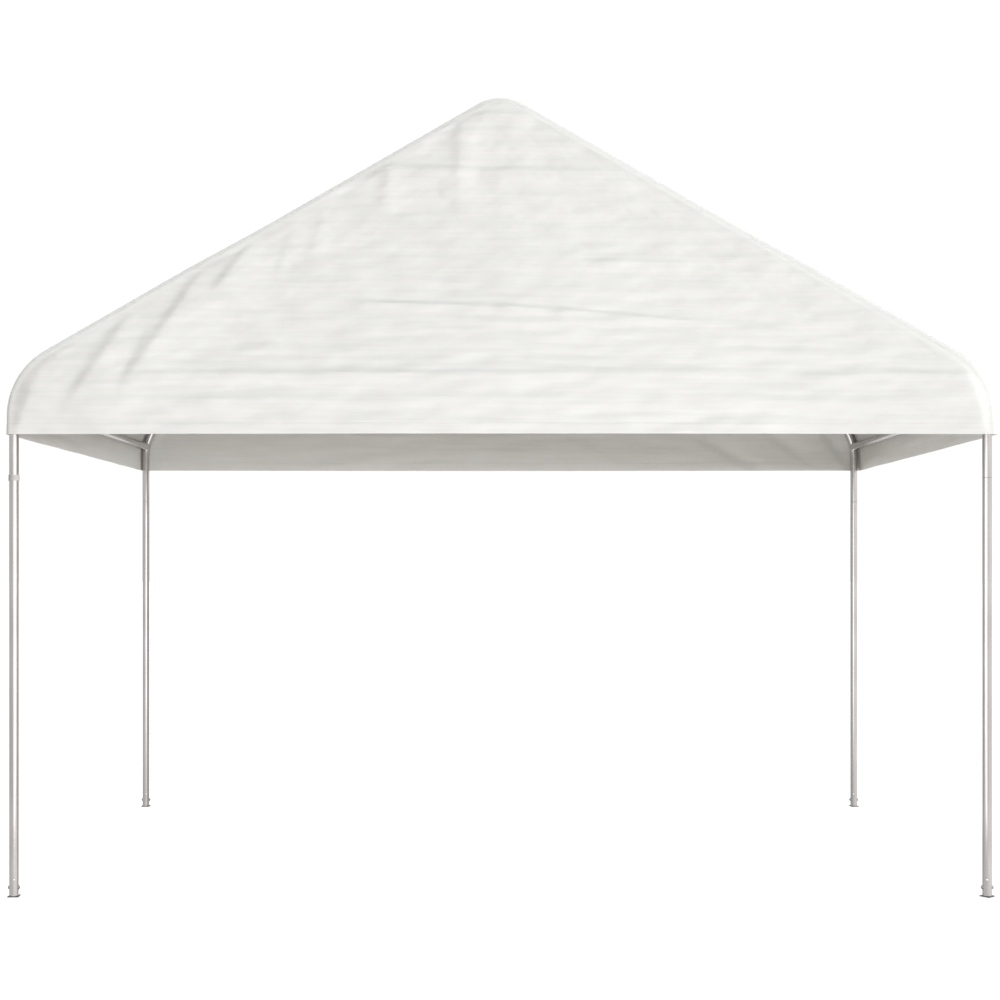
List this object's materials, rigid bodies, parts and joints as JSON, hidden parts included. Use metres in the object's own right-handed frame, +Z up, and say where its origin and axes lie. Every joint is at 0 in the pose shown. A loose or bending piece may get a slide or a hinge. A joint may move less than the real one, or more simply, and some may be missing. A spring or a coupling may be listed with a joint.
{
  "type": "garden gazebo",
  "caption": "Garden gazebo: gabled white sheet canopy with closed gables and short side valances, on a slender galvanised steel tube frame, open all round below the hem.",
  "frame": {"origin": "on the ground, midway between the feet", "axes": "+X to the right and +Y to the back, seen from the front gable; +Z up; the ridge runs along Y"},
  "size_m": [3.9955, 2.2484, 3.234],
  "materials": {
    "tube_steel": "bright galvanised",
    "foot_plate": "dull galvanised",
    "band": "satin",
    "canopy_sheet": "coated woven polyethylene"
  },
  "bodies": {
    "root": {"foot_front_left": "foot_plate", "foot_front_right": "foot_plate", "foot_back_left": "foot_plate", "foot_back_right": "foot_plate", "leg_front_left": "tube_steel", "leg_front_right": "tube_steel", "leg_back_left": "tube_steel", "leg_back_right": "tube_steel", "joint_band_front_left": "band", "eave_elbow_front_left": "tube_steel", "eave_elbow_front_right": "tube_steel", "eave_elbow_back_left": "tube_steel", "eave_elbow_back_right": "tube_steel", "rafter_front_left": "tube_steel", "rafter_front_right": "tube_steel", "rafter_back_left": "tube_steel", "rafter_back_right": "tube_steel", "ridge_bend_front": "tube_steel", "ridge_bend_back": "tube_steel", "ridge_purlin": "tube_steel", "eave_purlin_left": "tube_steel", "eave_purlin_right": "tube_steel", "roof_sheet_left": "canopy_sheet", "roof_sheet_right": "canopy_sheet", "gable_sheet_front": "canopy_sheet", "gable_sheet_back": "canopy_sheet"}
  },
  "joints": []
}
